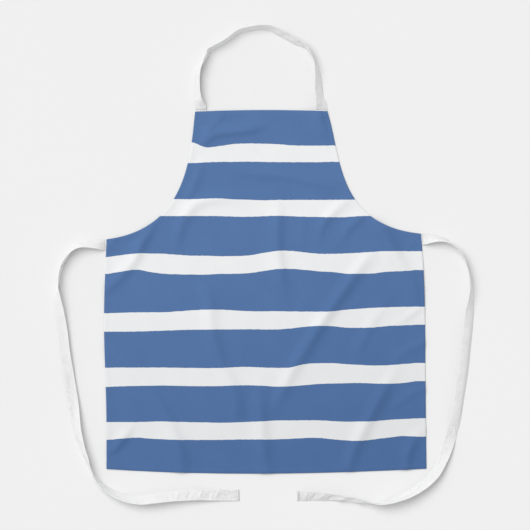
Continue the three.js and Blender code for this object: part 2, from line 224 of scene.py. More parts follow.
def uniform_spline(points, per_span=40):
    """The CAD's flat spline: each point's slope is half the step between its neighbours."""
    p = np.array(points, float)
    p = np.vstack([p[0], p, p[-1]])
    w = np.linspace(0, 1, per_span, endpoint=False)[:, None]
    spans = [
        hermite(p[i], p[i + 1], (p[i + 1] - p[i - 1]) / 2, (p[i + 2] - p[i]) / 2, w)
        for i in range(1, len(p) - 2)
    ]
    return np.vstack([*spans, p[-1:]])


def centripetal_spline(points, per_span=24):
    """The CAD's spline in space. Returns its points, and each one's place counted in route points."""
    p = np.array(points, float)
    p = np.vstack([2 * p[0] - p[1], p, 2 * p[-1] - p[-2]])
    w = np.linspace(0, 1, per_span, endpoint=False)[:, None]
    spans, places = [], []
    for i in range(1, len(p) - 2):
        d0, d1, d2 = (math.sqrt(np.linalg.norm(p[j + 1] - p[j])) for j in (i - 1, i, i + 1))
        a, b, c, d = p[i - 1 : i + 3]
        m0 = ((b - a) / d0 - (c - a) / (d0 + d1) + (c - b) / d1) * d1
        m1 = ((c - b) / d1 - (d - b) / (d1 + d2) + (d - c) / d2) * d1
        spans.append(hermite(b, c, m0, m1, w))
        places.append(i - 1 + w[:, 0])
    return np.vstack([*spans, p[-2:-1]]), np.concatenate([*places, [len(points) - 1]])


def lengths_along(line):
    return np.concatenate([[0], np.cumsum(np.linalg.norm(np.diff(line, axis=0), axis=1))])


def resample(line, at, columns=None):
    """Points of a line at the given distances along it."""
    run = lengths_along(line)
    source = line if columns is None else columns
    return np.stack([np.interp(at, run, source[:, k]) for k in range(source.shape[1])], axis=1)


def evenly(line, step):
    total = lengths_along(line)[-1]
    return resample(line, np.linspace(0, total, max(2, int(round(total / step)) + 1)))


def smoothstep(x, low, high):
    t = np.clip((x - low) / (high - low), 0, 1)
    return t * t * (3 - 2 * t)


# ---------- seeded noise ----------

def smooth_noise(x, y, size, seed):
    """Value noise from -1 to 1, with lumps about size across."""
    table = np.random.default_rng(seed).uniform(-1, 1, (64, 64))
    u, v = np.asarray(x) / size + 31.7, np.asarray(y) / size + 17.3
    i, j = np.floor(u).astype(int), np.floor(v).astype(int)
    fu, fv = u - i, v - j
    fu, fv = fu * fu * (3 - 2 * fu), fv * fv * (3 - 2 * fv)
    pick = lambda a, b: table[a % 64, b % 64]
    low = pick(i, j) * (1 - fu) + pick(i + 1, j) * fu
    high = pick(i, j + 1) * (1 - fu) + pick(i + 1, j + 1) * fu
    return low * (1 - fv) + high * fv


# ---------- the panel's outline and the cloth's height ----------

edges = {
    "top": bezier([BIB_LEFT, (-8.5, 392), BIB_RIGHT]),
    "right_armhole": bezier([BIB_RIGHT, (164, 289), (152, 142), WAIST_RIGHT]),
    "right_side": uniform_spline([WAIST_RIGHT, (339, 42), (342, -60), (343, -200), HEM_RIGHT]),
    "bottom": bezier([HEM_RIGHT, (-60, -399.25), HEM_LEFT]),
    "left_side": uniform_spline([HEM_LEFT, (-340, -250), (-344.9, -60), WAIST_LEFT]),
    "left_armhole": bezier([WAIST_LEFT, (-166, 134), (-160, 292), BIB_LEFT]),
}
edges = {name: line * MM for name, line in edges.items()}
outline = np.vstack([evenly(line, EDGE_STEP)[:-1] for line in edges.values()])


def nearest_on(line, points):
    """For each point: its distance to a line, how far along the line that is, and the side it lies on
    (positive on the left of travel)."""
    a, b = line[:-1], line[1:]
    d = b - a
    run = lengths_along(line)
    length = np.maximum(np.linalg.norm(d, axis=1), 1e-12)
    far, along, side = [], [], []
    for chunk in np.array_split(points, max(1, len(points) // 4000)):
        rel = chunk[:, None] - a[None]
        t = np.clip((rel * d).sum(2) / length**2, 0, 1)
        off = rel - t[..., None] * d
        gap = (off**2).sum(2)
        k = gap.argmin(1)
        rows = np.arange(len(chunk))
        far.append(np.sqrt(gap[rows, k]))
        along.append(run[k] + t[rows, k] * length[k])
        side.append(np.sign(d[k, 0] * off[rows, k, 1] - d[k, 1] * off[rows, k, 0]))
    return np.concatenate(far), np.concatenate(along), np.concatenate(side)


def fold_height(points):
    """How far the lying cloth stands off the surface, from its folds and soft lifts."""
    mm = np.asarray(points, float) / MM
    x, y = mm[:, 0], mm[:, 1]
    high = np.zeros(len(mm))
    for crest, heights, (left, right) in FOLDS:
        line = evenly(uniform_spline(crest), 6)
        margin = 3 * max(left, right)
        near = ((mm > line.min(0) - margin) & (mm < line.max(0) + margin)).all(1)
        if not near.any():
            continue
        run = lengths_along(np.array(crest, float))
        at = np.interp(np.linspace(0, 1, len(line)), run / run[-1], heights)
        far, along, side = nearest_on(line, mm[near])
        crest_high = np.interp(along, lengths_along(line), at)
        spread = np.where(side > 0, left, right)
        bump = crest_high * np.exp(-1.1 * (far / spread) ** 2)
        high[near] = np.maximum(high[near], bump) + 0.25 * np.minimum(high[near], bump)
    for cx, cy, wide, tall, up in LIFTS:
        high += up * np.exp(-(((x - cx) / wide) ** 2) - ((y - cy) / tall) ** 2)
    high += 0.55 * (1 + smooth_noise(x, y, 95, 3))
    high += 0.22 * (1 + smooth_noise(x + 0.4 * y, y, 38, 5))
    high += 0.05 * (1 + smooth_noise(x, y + 0.3 * x, 15, 8))
    return high * MM


def seam_boxes(points):
    """How much each point lies over a sewn tape end, from 0 to 1."""
    over = np.zeros(len(points))
    for (x, y), way in SEAMS.values():
        along = (points - np.array([x, y]) * MM) @ np.array(way, float)
        across = np.abs((points - np.array([x, y]) * MM) @ np.array([-way[1], way[0]], float))
        inside = smoothstep(-along, -4 * MM, 0) * (1 - smoothstep(-along, SEWN_TAIL, SEWN_TAIL + 4 * MM))
        inside *= 1 - smoothstep(across, TAPE_WIDTH / 2, TAPE_WIDTH / 2 + 4 * MM)
        over = np.maximum(over, inside)
    return over


def panel_bottom(points):
    """Height of the panel's underside: over its hems, its sewn tape ends and its folds."""
    step = np.full(len(points), PANEL_BASE)
    detail = np.zeros(len(points))
    for name, width in HEM_WIDTHS.items():
        width = width * MM
        far, along, _ = nearest_on(evenly(edges[name], 5 * MM), points)
        over = 1 - smoothstep(far, width, width + 3 * MM)
        step = np.maximum(step, PANEL_BASE + (PANEL_OVER_HEM - PANEL_BASE) * over)
        seed = sum(map(ord, name))
        pucker = smooth_noise(along / MM, along * 0, 7, seed) + 1.6 * smooth_noise(along / MM, along * 0, 18, seed + 1)
        seam = width - STITCH_FROM_FOLD * MM
        groove = np.exp(-(((far - seam) / (1.0 * MM)) ** 2))
        between = np.sin(np.clip(far / seam, 0, 1) * np.pi)
        beyond = smoothstep(far, seam, seam + 2 * MM) * (1 - smoothstep(far, seam + 3 * MM, seam + 18 * MM))
        crown = 0.4 * MM * between
        full = PUCKER[name] * MM * pucker * (between + 0.7 * beyond)
        detail += crown - 0.3 * MM * groove + full
    step = np.maximum(step, PANEL_BASE + (PANEL_OVER_TAPE - PANEL_BASE) * seam_boxes(points))
    return step + np.maximum(detail, -0.4 * MM) + fold_height(points)


# ---------- mesh making ----------

def make_piece(name, vertices, faces, materials, attributes=None, material_index=None, smooth=True):
    mesh = bpy.data.meshes.new(name)
    mesh.from_pydata([tuple(v) for v in vertices], [], [tuple(f) for f in faces])
    for key, values in (attributes or {}).items():
        mesh.attributes.new(key, "FLOAT", "POINT").data.foreach_set("value", np.asarray(values, np.float32))
    for material in materials:
        mesh.materials.append(material)
    if material_index is not None:
        mesh.polygons.foreach_set("material_index", np.asarray(material_index, np.int32))
    mesh.polygons.foreach_set("use_smooth", [smooth] * len(mesh.polygons))
    mesh.update()
    piece = bpy.data.objects.new(name, mesh)
    bpy.context.scene.collection.objects.link(piece)
    return piece


def stripe_distance(points):
    """Distance in millimetres into the blue print (positive) or the white (negative)."""
    x, y = points[:, 0] / MM, points[:, 1] / MM
    fine = np.linspace(STRIPE_STATIONS[0], STRIPE_STATIONS[-1], 400)
    best = np.full(len(x), 1e3)
    blue = np.ones(len(x), bool)
    for row in STRIPE_EDGES:
        curve = uniform_spline(np.stack([STRIPE_STATIONS, row], 1), 12)
        rough = 0.35 * smooth_noise(x, y * 0 + row[0], 4, 21)
        gap = y - np.interp(x, curve[:, 0], curve[:, 1]) - rough
        best = np.minimum(best, np.abs(gap))
        blue ^= gap < 0
    return np.where(blue, best, -best)


def painted_light_falloff(points):
    """Painted shade: a colour factor that darkens the cloth a little towards its lower right, where the light falls
    off.
    """
    x, y = points[:, 0] / MM, points[:, 1] / MM
    dimming = 0.045 - 0.000225 * (y + 56) + 0.00008 * x
    return 1 - 0.5 * (dimming + np.sqrt(dimming**2 + 0.0003))


# ---------- materials ----------

class Finish:
    """A procedural material: small helpers around one Principled shader. glow lets light through."""

    def __init__(self, name, roughness, sheen=0.0, specular=0.3, glow=0.0):
        self.material = bpy.data.materials.new(name)
        self.material.use_nodes = True
        self.tree = self.material.node_tree
        self.tree.nodes.clear()
        output = self.tree.nodes.new("ShaderNodeOutputMaterial")
        self.shader = self.tree.nodes.new("ShaderNodeBsdfPrincipled")
        self.shader.inputs["Roughness"].default_value = roughness
        self.shader.inputs["Sheen Weight"].default_value = sheen
        self.shader.inputs["Sheen Roughness"].default_value = 0.45
        self.shader.inputs["Specular IOR Level"].default_value = specular
        self.shader.inputs["Subsurface Weight"].default_value = glow
        self.shader.inputs["Subsurface Radius"].default_value = (1, 1, 1)
        self.shader.inputs["Subsurface Scale"].default_value = 1.7 * MM
        self.tree.links.new(self.shader.outputs[0], output.inputs[0])
        self.place = self.tree.nodes.new("ShaderNodeTexCoord").outputs["Object"]

    def feed(self, value, socket):
        if isinstance(value, bpy.types.NodeSocket):
            self.tree.links.new(value, socket)
        elif hasattr(value, "__len__"):
            socket.default_value = (*value, 1.0) if len(socket.default_value) == 4 else value
        else:
            socket.default_value = value

    def math(self, operation, *values, clamp=False):
        node = self.tree.nodes.new("ShaderNodeMath")
        node.operation = operation
        node.use_clamp = clamp
        for value, socket in zip(values, node.inputs):
            self.feed(value, socket)
        return node.outputs[0]

    def attribute(self, name):
        node = self.tree.nodes.new("ShaderNodeAttribute")
        node.attribute_name = name
        return node.outputs["Fac"]

    def noise(self, scale, detail=2.0, place=None):
        node = self.tree.nodes.new("ShaderNodeTexNoise")
        node.inputs["Scale"].default_value = scale
        node.inputs["Detail"].default_value = detail
        self.feed(place or self.place, node.inputs["Vector"])
        return node.outputs["Fac"]

    def spread(self, value, low, high):
        """A 0 to 1 value, spread over low to high."""
        node = self.tree.nodes.new("ShaderNodeMapRange")
        self.feed(value, node.inputs["Value"])
        node.inputs["To Min"].default_value = low
        node.inputs["To Max"].default_value = high
        return node.outputs[0]

    def mix(self, factor, a, b):
        node = self.tree.nodes.new("ShaderNodeMix")
        node.data_type = "RGBA"
        self.feed(factor, node.inputs["Factor"])
        self.feed(a, node.inputs["A"])
        self.feed(b, node.inputs["B"])
        return node.outputs["Result"]

    def shade(self, color, factor):
        """A colour times a value."""
        node = self.tree.nodes.new("ShaderNodeVectorMath")
        node.operation = "SCALE"
        self.feed(color, node.inputs[0])
        self.feed(factor, node.inputs["Scale"])
        return node.outputs[0]

    def axes(self):
        node = self.tree.nodes.new("ShaderNodeSeparateXYZ")
        self.feed(self.place, node.inputs[0])
        return node.outputs[0], node.outputs[1]

    def waves(self, u, v, per_u, per_v, phase=0.0):
        """Sine ridges with the given counts per metre along u and v."""
        turn = self.math("ADD", self.math("MULTIPLY", u, per_u * math.tau), self.math("MULTIPLY", v, per_v * math.tau))
        return self.math("SINE", self.math("ADD", turn, phase))

    def bump(self, height, distance, strength=1.0):
        node = self.tree.nodes.new("ShaderNodeBump")
        node.inputs["Distance"].default_value = distance
        node.inputs["Strength"].default_value = strength
        self.feed(height, node.inputs["Height"])
        self.tree.links.new(node.outputs[0], self.shader.inputs["Normal"])

    def color(self, value):
        self.feed(value, self.shader.inputs["Base Color"])
        return self.material


def twill(finish, u, v, yarns):
    """Height of a twill weave: slanting ribs over fine crossing yarns, a little uneven."""
    rib = finish.waves(u, v, yarns / 4, yarns / 4)
    warp = finish.waves(u, v, yarns / 2, 0)
    weft = finish.waves(u, v, 0, yarns / 2)
    yarn = finish.math("MULTIPLY", warp, weft)
    slub = finish.noise(900, 2.0)
    height = finish.math("ADD", finish.math("MULTIPLY", rib, 0.5), finish.math("MULTIPLY", yarn, 0.35))
    return finish.math("ADD", height, finish.math("MULTIPLY", slub, 0.8))


WHITE_CLOTH = (0.784, 0.792, 0.799)
# Deeper blue that the ink is drawn towards in the painted shade at the cloth's lower right.
PAINTED_SHADE_INK = (0.0023, 0.077, 0.305)
YARNS = 2400


def printed_cloth():
    """White twill with the blue stripes printed on it, seen from the printed side, with painted shade darkening it
    towards the lower right and in the weave's low places.
    """
    finish = Finish("printed_twill", 0.86, sheen=0.05)
    u, v = finish.axes()
    weave = twill(finish, u, v, YARNS)
    inked = finish.math("ADD", finish.attribute("print"), finish.math("MULTIPLY", weave, 0.12))
    edge = finish.math("ADD", finish.math("MULTIPLY", inked, 1.6), 0.5, clamp=True)
    cotton = finish.shade(WHITE_CLOTH, finish.spread(finish.noise(26, 4.0), 0.965, 1.03))
    ink = finish.mix(finish.noise(420, 3.0), (0.071, 0.149, 0.326), (0.085, 0.172, 0.364))
    # Painted shade of the light falling off towards the lower right, read from the panel's attribute.
    painted_falloff = finish.attribute("painted_falloff")
    ink = finish.shade(ink, finish.spread(finish.noise(18, 4.0), 0.94, 1.07))
    # Painted shade: the ink turns deeper where that painted falloff is stronger.
    ink = finish.mix(painted_falloff, PAINTED_SHADE_INK, ink)
    color = finish.mix(edge, cotton, ink)
    # Painted shade: the weave's low places are painted slightly darker and its high places slightly lighter.
    color = finish.shade(color, finish.spread(weave, 0.985, 1.012))
    # The whole colour darkened by the same painted shade.
    color = finish.shade(color, painted_falloff)
    finish.bump(weave, 0.035 * MM, 0.8)
    return finish.color(color)


def plain_cloth(name, base):
    """The unprinted side of the twill: white, with a faint show-through."""
    finish = Finish(name, 0.9, sheen=0.05)
    u, v = finish.axes()
    weave = twill(finish, u, v, YARNS)
    through = finish.math("MULTIPLY", finish.attribute("show"), finish.spread(finish.noise(60, 3.0), 0.7, 1.0))
    color = finish.mix(through, base, (0.62, 0.67, 0.76))
    color = finish.shade(color, finish.spread(finish.noise(26, 4.0), 0.97, 1.02))
    # Painted shade: the weave's low places are painted slightly darker and its high places slightly lighter.
    color = finish.shade(color, finish.spread(weave, 0.98, 1.01))
    finish.bump(weave, 0.035 * MM, 0.8)
    return finish.color(color)


def woven_tape():
    """Bleached cotton tape: herringbone ribs with firm selvedges."""
    finish = Finish("woven_tape", 0.82, sheen=0.08, glow=1.0)
    along, across = finish.attribute("along"), finish.attribute("across")
    folded = finish.math("PINGPONG", finish.math("ADD", across, 0.012), 0.004)
    rib = finish.waves(along, folded, 900, 900)
    pick = finish.waves(along, across, 1500, 0)
    end = finish.waves(along, across, 0, 1300)
    edge = finish.math("GREATER_THAN", finish.math("ABSOLUTE", across), 0.0108)
    yarn = finish.math("MULTIPLY", pick, end)
    height = finish.math("ADD", finish.math("MULTIPLY", rib, 0.5), finish.math("MULTIPLY", yarn, 0.4))
    height = finish.math("ADD", height, finish.math("MULTIPLY", finish.noise(700, 2.0), 0.8))
    height = finish.math("ADD", height, finish.math("MULTIPLY", edge, 0.5))
    color = finish.mix(finish.noise(55, 4.0), (0.748, 0.748, 0.748), (0.776, 0.776, 0.776))
    # Painted shade: the low places of the tape's weave are painted slightly darker, its ribs and selvedges slightly
    # lighter.
    color = finish.shade(color, finish.spread(height, 0.985, 1.01))
    finish.bump(height, 0.04 * MM, 0.8)
    return finish.color(color)


def sewing_thread():
    """Twisted thread, in the colours of the print around it."""
    finish = Finish("sewing_thread", 0.6, sheen=0.1, specular=0.4)
    inked = finish.math("ADD", finish.math("MULTIPLY", finish.attribute("print"), 1.6), 0.5, clamp=True)
    color = finish.mix(inked, (0.82, 0.82, 0.82), (0.09, 0.178, 0.375))
    twist = finish.waves(finish.attribute("along"), finish.attribute("across"), 1600, 900)
    # Painted shade: the grooves of the twist are painted darker.
    color = finish.shade(color, finish.spread(twist, 0.93, 1.0))
    finish.bump(twist, 0.03 * MM, 0.8)
    return finish.color(color)


def pale_floor():
    finish = Finish("pale_surface", 0.9, specular=0.1)
    color = finish.mix(finish.noise(1.3, 2.0), (0.792, 0.792, 0.792), (0.8, 0.8, 0.8))
    return finish.color(color)


PRINTED = printed_cloth()
CLOTH_BACK = plain_cloth("twill_back", WHITE_CLOTH)
TAPE = woven_tape()
THREAD = sewing_thread()

# ---------- camera, light and floor ----------

PICTURE_WIDTH = 1.1342
PICTURE_CENTRE = (-0.0004, 0.0574)
CAMERA_HEIGHT = 12.0

camera = bpy.data.objects.new("camera", bpy.data.cameras.new("camera"))
bpy.context.scene.collection.objects.link(camera)
camera.location = (*PICTURE_CENTRE, CAMERA_HEIGHT)
camera.data.sensor_width = 36
camera.data.lens = 36 * CAMERA_HEIGHT / PICTURE_WIDTH
camera.data.clip_start, camera.data.clip_end = 0.1, 100
bpy.context.scene.camera = camera

bpy.context.scene.view_settings.view_transform = "Standard"
bpy.context.scene.view_settings.look = "None"

sun = bpy.data.objects.new("key_light", bpy.data.lights.new("key_light", "SUN"))
bpy.context.scene.collection.objects.link(sun)
SUN_ELEVATION, SUN_FROM = math.radians(58), math.radians(138)
toward_sun = Vector((
    math.cos(SUN_FROM) * math.cos(SUN_ELEVATION),
    math.sin(SUN_FROM) * math.cos(SUN_ELEVATION),
    math.sin(SUN_ELEVATION),
))
sun.rotation_euler = toward_sun.to_track_quat("Z", "Y").to_euler()
sun.data.energy = 1.98
sun.data.angle = math.radians(46)

world = bpy.data.worlds.new("soft_sky")
bpy.context.scene.world = world
world.use_nodes = True
world.node_tree.nodes["Background"].inputs["Color"].default_value = (1, 1, 1, 1)
world.node_tree.nodes["Background"].inputs["Strength"].default_value = 0.558

floor = make_piece(
    "floor", [(-30, -30, 0), (30, -30, 0), (30, 30, 0), (-30, 30, 0)], [(0, 1, 2, 3)], [pale_floor()], smooth=False
)

# ---------- tapes ----------

def tape_frames(route, step=2.4 * MM):
    """Even stations along a tape: run, middle, across, face."""
    xy = np.array([p[:2] for p in route]) * MM
    tilts = np.radians([p[2] for p in route])
    gaps = np.array([p[3] if len(p) > 3 else 0 for p in route]) * MM
    half, lift = TAPE_WIDTH / 2, TAPE_THICK / 2
    middles = np.column_stack([xy, half * np.abs(np.sin(tilts)) + lift + gaps])
    line, places = centripetal_spline(middles)
    total = lengths_along(line)[-1]
    run = np.linspace(0, total, int(round(total / step)) + 1)
    middle = resample(line, run)
    place = resample(line, run, places[:, None])[:, 0]
    tilt = np.interp(place, np.arange(len(route)), tilts)
    tilt[2:-2] = np.convolve(tilt, np.ones(5) / 5, "valid")
    tangent = np.gradient(middle, axis=0)
    tangent /= np.linalg.norm(tangent, axis=1)[:, None]
    side = np.cross(UP, tangent)
    side /= np.linalg.norm(side, axis=1)[:, None]
    across = side * np.cos(tilt)[:, None] + UP * np.sin(tilt)[:, None]
    across -= tangent * (across * tangent).sum(1)[:, None]
    across /= np.linalg.norm(across, axis=1)[:, None]
    face = np.cross(tangent, across)
    gap = np.interp(place, np.arange(len(route)), gaps)
    middle[:, 2] = TAPE_FLOOR + gap + half * np.abs(across[:, 2]) + lift * np.abs(face[:, 2])
    return run, middle, across, face


def section(half, thick, columns):
    """Places round a flat section with rounded edges: (across, out of the face)."""
    r = thick / 2
    flat = np.linspace(half - r, r - half, columns)
    turn = np.radians([60, 30, 0, -30, -60])
    top = [(w, r) for w in flat]
    left = [(r - half - r * math.cos(a), r * math.sin(a)) for a in turn]
    bottom = [(w, -r) for w in flat[::-1]]
    right = [(half - r + r * math.cos(a), -r * math.sin(a)) for a in turn]
    return np.array(top + left + bottom + right)


def ribbon(name, line, half, thick, rise=0.0, relief=None, follow=None, columns=13):
    """A closed woven ribbon swept through the stations. relief bends its section out of the face, and
    follow lays it over the folds of the cloth."""
    run, middle, across, face = line
    ring = section(half, thick, columns)
    w = ring[None, :, 0] + np.zeros((len(run), 1))
    f = ring[None, :, 1] + rise + np.zeros((len(run), 1))
    if relief is not None:
        f = f + relief(run[:, None] + 0 * w, w)
    points = middle[:, None] + across[:, None] * w[..., None] + face[:, None] * f[..., None]
    if follow is not None:
        here, centre = points[..., :2].reshape(-1, 2), middle[:, :2]
        points[..., 2] += follow(here).reshape(w.shape) - follow(centre)[:, None]
    points[..., 2] += np.maximum(TAPE_FLOOR - points[..., 2].min(1), 0)[:, None]
    n, m = w.shape
    i, k = (g.ravel() for g in np.meshgrid(np.arange(n - 1), np.arange(m), indexing="ij"))
    a, b = i * m + k, i * m + (k + 1) % m
    faces = np.stack([a, b, b + m, a + m], 1).tolist()
    faces.append(list(range(m))[::-1])
    faces.append([(n - 1) * m + k for k in range(m)])
    values = {"along": (run[:, None] + 0 * w).ravel(), "across": w.ravel()}
    tape = make_piece(name, points.reshape(-1, 3), faces, [TAPE], values)
    for cap in (-2, -1):
        tape.data.polygons[cap].use_smooth = False
    return tape


def tape_relief(creases, seed, length=None):
    """Cupping and creases of a tape. A crease is (run, across, length, width, slant in degrees, depth) in
    mm. The relief fades out at the seam where the tape starts, and where it ends if length is given."""
    def relief(run, w):
        s, v = run / MM, w / MM
        total = TAPE_CUP * smooth_noise(s, 0 * s, 70, seed) * (1 - (v / 12) ** 2)
        total = total + 0.42 * smooth_noise(s, v, 17, seed + 1) + 0.2 * smooth_noise(s, v, 7, seed + 2)
        for at, off, long, wide, slant, deep in creases:
            c, d = math.cos(math.radians(slant)), math.sin(math.radians(slant))
            p, q = (s - at) * c + (v - off) * d, -(s - at) * d + (v - off) * c
            total = total + deep * np.exp(-((p / long) ** 2) - (q / wide) ** 2)
        total = total * smoothstep(s, 0, 12)
        if length is not None:
            total = total * smoothstep(length - s, 0, 12)
        return total * MM
    return relief


# One stitch: a low rounded lozenge, as rings of (place along it, width, height) between two points.
STITCH_RINGS = [(-0.46, 0.55, 0.55), (-0.3, 0.95, 0.9), (0.0, 1.0, 1.0), (0.3, 0.95, 0.9), (0.46, 0.55, 0.55)]
STITCH_SIDES = 6


def stitch_rows(name, rows, length=STITCH_LENGTH, plain=False):
    """Separate stitches. Each row is (places, ways, normals): where they lie, along what, facing where.
    Plain stitches are all white; the others take the colour of the print around them."""
    angles = np.arange(STITCH_SIDES) * math.tau / STITCH_SIDES
    shape = [(-0.5, 0.0, 0.0)]
    for t, wide, tall in STITCH_RINGS:
        shape += [(t, 0.5 * wide * math.cos(a), 0.5 * tall * math.sin(a)) for a in angles]
    shape = np.array([*shape, (0.5, 0.0, 0.0)]) * [length, STITCH_WIDTH, STITCH_HIGH]
    n, last = STITCH_SIDES, len(shape) - 1
    after = lambda k: (k + 1) % n
    cap = [(0, 1 + after(k), 1 + k) for k in range(n)] + [(last, last - n + k, last - n + after(k)) for k in range(n)]
    wall = [
        (b + k, b + after(k), b + n + after(k), b + n + k)
        for b in range(1, last - n, n)
        for k in range(n)
    ]
    places, ways, normals = (np.vstack(part) for part in zip(*rows))
    ways = ways / np.linalg.norm(ways, axis=1)[:, None]
    beside = np.cross(normals, ways)
    axes = np.stack([ways, beside, normals], 1)
    points = places[:, None] + shape @ axes
    first = np.arange(len(places)) * len(shape)
    faces = [*(first[:, None, None] + np.array(cap)).reshape(-1, 3).tolist()]
    faces += (first[:, None, None] + np.array(wall)).reshape(-1, 4).tolist()
    ink = np.full(len(places), -9.0) if plain else stripe_distance(places[:, :2])
    values = {
        "print": np.repeat(ink, len(shape)),
        "along": np.tile(shape[:, 0], len(places)),
        "across": np.tile(shape[:, 1], len(places)),
    }
    return make_piece(name, points.reshape(-1, 3), faces, [THREAD], values)


def place_near(run, middle, x, y):
    """How far along a tape its middle passes nearest to a point, in mm."""
    return run[np.hypot(middle[:, 0] - x * MM, middle[:, 1] - y * MM).argmin()] / MM


def lay_tape(name, route, seam_ends, creases, seed):
    """A free tape on its route, raised onto the cloth's folds where it leaves each seam."""
    run, middle, across, face = tape_frames(route)
    seams = [middle[end, :2].copy() for end in seam_ends]

    def rise(points):
        far = np.min([np.linalg.norm(points - seam, axis=1) for seam in seams], axis=0)
        return fold_height(points) * (1 - smoothstep(far, 10 * MM, 42 * MM))

    middle[:, 2] += rise(middle[:, :2])
    dents = [(place_near(run, middle, x, y), *rest) for x, y, *rest in creases]
    relief = tape_relief(dents, seed, run[-1] / MM if len(seam_ends) == 2 else None)
    tape = ribbon(name, (run, middle, across, face), TAPE_WIDTH / 2, TAPE_THICK, relief=relief, follow=rise)
    return tape, (run, middle, across, face)


# Creases of the tapes: x, y, place across the tape, length, width, slant from the run, depth, in
# millimetres and degrees.
NECK_CREASES = [
    (-119, 516, 0, 30, 4, 90, 2.4), (29, 555, 4, 5, 3.4, 40, -1.8), (42, 549, 1, 5, 3, -40, 1.8),
    (57, 541, 3, 5, 3.4, 35, -1.8), (70, 533, 0, 6, 3.4, -35, 1.8), (-143, 420, 3, 7, 3.5, 30, -0.8),
    (113, 462, -3, 7, 3.5, -30, 1.2), (-35, 562, 2, 8, 3.2, 25, -0.8), (100, 505, 2, 6, 3.5, 50, -1.0),
    (115, 430, 2, 12, 3, 60, -1.0), (118, 405, -3, 9, 3, -50, 0.9),
]
LEFT_CREASES = [
    (-412, 88, 3, 6, 3.4, 50, -1.1), (-436, 50, -2, 7, 3.4, -40, 1.0), (-443, -2, 4, 7, 3.4, 40, -0.9),
    (-434, -80, -9, 14, 4, 25, 1.2), (-428, -130, -9, 10, 4, -25, -1.6), (-421, -172, -8, 12, 4, 20, 2.0),
    (-418, -196, -9, 28, 6, 0, 1.8), (-414, -215, -8, 8, 3.4, 35, -2.0), (-409, -246, -9, 9, 3.4, -30, 1.8),
    (-405, -272, -7, 9, 3.4, 30, -2.0), (-398, -305, -7, 9, 3.4, -35, 1.8), (-394, -322, -4, 8, 3.2, 30, -1.6),
    (-386, -345, 0, 12, 3, 15, 1.4), (-372, -380, 1, 10, 3, -20, -1.3), (-350, -411, 0, 16, 2.6, 5, -1.6),
    (-325, -431, 1, 16, 2.6, -8, 1.4), (-205, -438, 2, 8, 3.2, 110, 1.6), (-186, -436, -1, 9, 3.2, 115, -1.9),
    (-163, -434.5, 0, 11, 3.2, 110, 2.1), (-140, -434, 0, 11, 3.2, 115, -2.2), (-120, -434, 1, 10, 3.2, 105, 2.0),
    (-101, -434, -2, 10, 3, 115, -2.0), (-82, -435, 0, 8, 3, 75, 1.2), (-69, -435, 2, 7, 2.6, 60, -1.0),
]
RIGHT_CREASES = [
    (384, 110, -3, 6, 3.4, -45, 1.1), (414, 88, 2, 7, 3.4, 40, -1.0), (436, 42, -3, 7, 3.4, -40, 1.0),
    (441, -8, 2, 8, 3.4, 40, -1.0), (438, -40, -8, 8, 3.4, 55, -1.4), (434, -85, 15, 55, 6.5, 0, -3.8),
    (424, -165, 15, 60, 6.5, 0, -3.8), (409, -255, 14, 60, 5.5, 0, -3.4), (435, -68, -5, 8, 3.4, 60, 1.2),
    (430, -118, -6, 9, 3.4, 70, -1.2), (426, -150, -4, 10, 3.4, 60, 1.2), (420, -192, -6, 9, 3.4, 75, -1.1),
    (411, -245, -4, 9, 3.4, 65, 1.1), (401, -292, -3, 9, 3.4, 70, -1.0), (345, -408, -4, 9, 3.2, -40, 1.2),
    (310, -430, 0, 22, 3, 6, -1.4), (286, -442, 3, 6, 3.4, 40, -1.0), (230, -452, -3, 6, 3.2, -40, 1.0),
    (205, -448, 1, 10, 3.2, -30, -3.4), (186, -445, 1, 10, 3, -35, 3.4), (163, -442, 0, 12, 3.6, -35, -4.2),
    (141, -440, 0, 11, 3.4, -40, 3.6), (121, -438, 1, 10, 3.2, -50, -3.2), (104, -437, -1, 9, 3.2, -60, 3.0),
    (86, -437, 1, 9, 3, -70, -2.6),
]

neck_strap, neck_line = lay_tape("neck_strap_tape", NECK_ROUTE, (0, -1), NECK_CREASES, 11)
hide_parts("neck_strap")
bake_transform(neck_strap)

for side, way, route, creases, length, seed in (
    ("left", -1, LEFT_TIE_ROUTE, LEFT_CREASES, 0.905, 12),
    ("right", 1, RIGHT_TIE_ROUTE, RIGHT_CREASES, 0.899, 13),
):
    body = side + "_waist_tie"
    tie, line = lay_tape(side + "_tie_tape", route, (0,), creases, seed)
    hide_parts(side + "_tie")

    # The free end is turned over onto the back, which faces up there, and stitched across.
    run, middle, across, face = line
    last = run > run[-1] - TURNED_END
    strip = [values[last] for values in line]
    turned = ribbon(
        side + "_tie_turned_end", strip, TAPE_WIDTH / 2 - 0.3 * MM, TURNED_THICK, rise=-TAPE_THICK / 2 - 0.36 * MM
    )
    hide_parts(side + "_tie_end_hem")
    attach(turned, body)

    at = np.abs(run - (run[-1] - TURNED_END + STITCH_FROM_FOLD * MM)).argmin()
    offsets = np.arange(-3, 4)[:, None] * STITCH_PITCH
    down = face[at] * (TAPE_THICK / 2 + 0.36 * MM + TURNED_THICK / 2)
    stitches = stitch_rows(
        side + "_tie_end_stitches",
        [(middle[at] - down + across[at] * offsets, across[at] + 0 * offsets, -face[at] + 0 * offsets)],
        plain=True,
    )
    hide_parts(side + "_tie_end_stitching")
    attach(stitches, body)

    seam = np.array([*SEAMS[side + "_tie"][0], 0.5]) * MM
    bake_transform(tie)

# ---------- the panel: one cut of cloth, its edges rolled over their hems ----------

def inward(line):
    """Unit directions into the panel, along a closed clockwise line."""
    way = np.roll(line, -1, 0) - np.roll(line, 1, 0)
    way /= np.linalg.norm(way, axis=1)[:, None]
    return np.stack([way[:, 1], -way[:, 0]], 1)


def panel_top(points):
    return panel_bottom(points) + CLOTH_THICK


